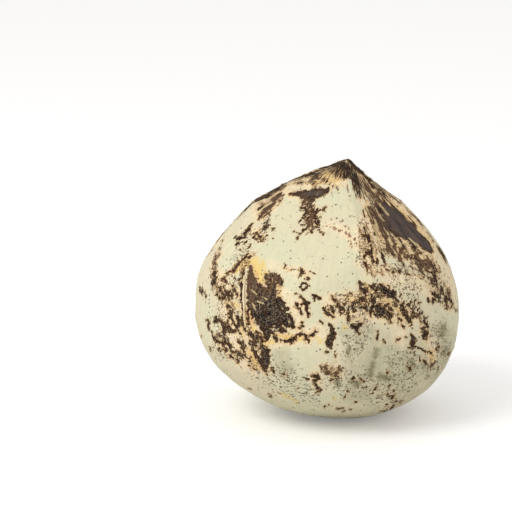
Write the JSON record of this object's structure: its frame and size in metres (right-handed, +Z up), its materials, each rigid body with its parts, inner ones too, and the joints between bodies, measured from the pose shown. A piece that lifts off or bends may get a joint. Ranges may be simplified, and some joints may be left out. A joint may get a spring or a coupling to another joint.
{
  "type": "roasted coconut",
  "caption": "Husk-trimmed roasted coconut with a low pointed top and shaved, scorched faces; rests upright on a small flat base as food or a display piece.",
  "frame": {"origin": "under the middle of the nut's outline, on the surface that it rests on", "axes": "+Z up towards the tip, -Y towards the front that the picture shows, +X to the right, towards the side that the tip stands nearer to"},
  "size_m": [0.1248, 0.1225, 0.1216],
  "materials": {
    "toasted_husk": "dry, matt pale husk, scorched brown and black in patches"
  },
  "bodies": {
    "root": {"coconut": "toasted_husk"}
  },
  "joints": []
}
